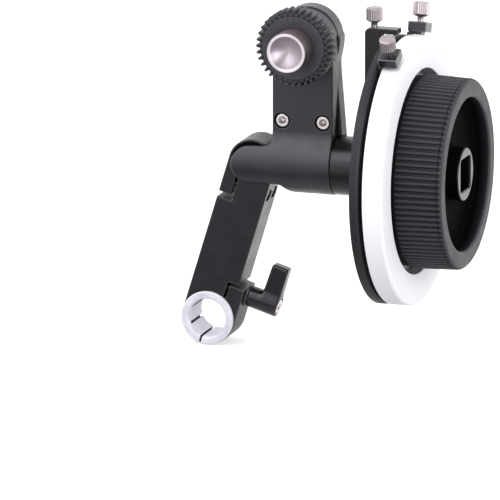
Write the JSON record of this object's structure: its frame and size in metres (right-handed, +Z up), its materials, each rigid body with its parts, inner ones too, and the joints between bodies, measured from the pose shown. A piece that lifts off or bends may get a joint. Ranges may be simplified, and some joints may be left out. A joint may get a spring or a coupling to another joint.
{
  "type": "follow focus unit",
  "caption": "Swing-arm follow focus unit: a rod clamp with ratchet lever, a right-angle gear head with drive gear, and a hand wheel with marking disc, index plate and sliding markers.",
  "frame": {"origin": "centre of the rod bore, half way through the arm's thickness", "axes": "+Y along the rod bore, away from the drive gear's side; +X along the hand wheel's axis, towards the wheel; +Z up"},
  "size_m": [0.1142, 0.1046, 0.1382],
  "materials": {
    "black_anodised": "satin black anodised",
    "gloss_black": "polished black",
    "marker_black": "satin black anodised",
    "lever_black": "fine textured black paint",
    "bushing_silver": "matte, light",
    "gear_black": "matte moulded",
    "nut_silver": "turned, bright",
    "thumb_silver": "satin",
    "screw_steel": "bright",
    "shaft_steel": "ground",
    "disc_white": "matte, takes a marker pen"
  },
  "bodies": {
    "clamp_arm": {"swing_arm": "black_anodised", "rod_bushing": "bushing_silver", "pinch_screws": "screw_steel", "lever_washer": "screw_steel"},
    "lever_core": {"lever_stud": "screw_steel", "lever_insert": "screw_steel", "lever_spring": "screw_steel", "lever_screw": "screw_steel"},
    "lever": {"lever_handle": "lever_black"},
    "head": {"body_housing": "black_anodised", "rear_cover": "black_anodised", "cover_screws": "screw_steel", "pivot_pin": "shaft_steel", "collar": "gloss_black", "wheel_bearings": "shaft_steel", "head_bearings": "shaft_steel", "gear_bearings": "shaft_steel", "index_plate": "black_anodised", "plate_screws": "screw_steel", "index_bracket": "black_anodised", "bracket_screw": "screw_steel"},
    "index_thumb": {"index_screw": "thumb_silver"},
    "wheel": {"wheel_shaft": "shaft_steel", "wheel_bevel": "shaft_steel", "wheel_carrier": "black_anodised", "carrier_screws": "screw_steel", "carrier_magnets": "shaft_steel", "hand_wheel": "black_anodised", "wheel_hub": "gloss_black", "hub_screw": "screw_steel"},
    "upright": {"head_shaft": "shaft_steel", "lower_bevel": "shaft_steel", "upper_bevel": "shaft_steel"},
    "output": {"gear_shaft": "shaft_steel", "output_bevel": "shaft_steel", "drive_gear": "gear_black"},
    "nut": {"gear_nut": "nut_silver"},
    "marking": {"marking_disc": "disc_white", "disc_slugs": "shaft_steel"},
    "front_marker": {"marker_front": "marker_black"},
    "front_thumb": {"marker_screw_front": "thumb_silver"},
    "rear_marker": {"marker_rear": "marker_black"},
    "rear_thumb": {"marker_screw_rear": "thumb_silver"}
  },
  "joints": [
    {"name": "lever_turn", "type": "hinge", "parent": "clamp_arm", "child": "lever_core", "pos_m": [0.01384, 0, 0.00832], "axis": [0.9563, 0, -0.2924], "continuous": true},
    {"name": "lever_pull", "type": "slide", "parent": "lever_core", "child": "lever", "axis": [0.9563, 0, -0.2924], "range_m": [0, 0.003], "stiffness_N_per_m": 400, "springref_m": -0.003},
    {"name": "head_swing", "type": "hinge", "parent": "clamp_arm", "child": "head", "pos_m": [0.0178, 0, 0.06284], "axis": [0, 1, 0], "range_deg": [-90, 25]},
    {"name": "index_thumb_turn", "type": "hinge", "parent": "head", "child": "index_thumb", "pos_m": [0.0653, 0, 0.12284], "axis": [0, 0, 1], "continuous": true},
    {"name": "wheel_turn", "type": "hinge", "parent": "head", "child": "wheel", "pos_m": [0.0384, 0, 0.06284], "axis": [1, 0, 0], "continuous": true},
    {"name": "upright_turn", "type": "hinge", "parent": "head", "child": "upright", "pos_m": [0.0384, 0, 0.08784], "axis": [0, 0, 1], "continuous": true},
    {"name": "output_turn", "type": "hinge", "parent": "head", "child": "output", "pos_m": [0.0384, -0.01485, 0.11224], "axis": [0, 1, 0], "continuous": true},
    {"name": "nut_turn", "type": "hinge", "parent": "output", "child": "nut", "pos_m": [0.0384, -0.022, 0.11224], "axis": [0, -1, 0], "continuous": true},
    {"name": "disc_pull", "type": "slide", "parent": "wheel", "child": "marking", "axis": [1, 0, 0], "range_m": [0, 0.025]},
    {"name": "front_marker_slide", "type": "hinge", "parent": "marking", "child": "front_marker", "pos_m": [0.0765, 0, 0.06284], "axis": [1, 0, 0], "range_deg": [-15, 145]},
    {"name": "rear_marker_slide", "type": "hinge", "parent": "marking", "child": "rear_marker", "pos_m": [0.0765, 0, 0.06284], "axis": [1, 0, 0], "range_deg": [-145, 12]},
    {"name": "front_thumb_turn", "type": "hinge", "parent": "front_marker", "child": "front_thumb", "pos_m": [0.07945, -0.02724, 0.1163], "axis": [0, -0.454, 0.891], "continuous": true},
    {"name": "rear_thumb_turn", "type": "hinge", "parent": "rear_marker", "child": "rear_thumb", "pos_m": [0.07945, 0.01492, 0.12096], "axis": [0, 0.2487, 0.9686], "continuous": true}
  ],
  "couplings": [
    {"joint": "upright_turn", "follows": "wheel_turn", "ratio": -1},
    {"joint": "output_turn", "follows": "wheel_turn", "ratio": 1}
  ]
}
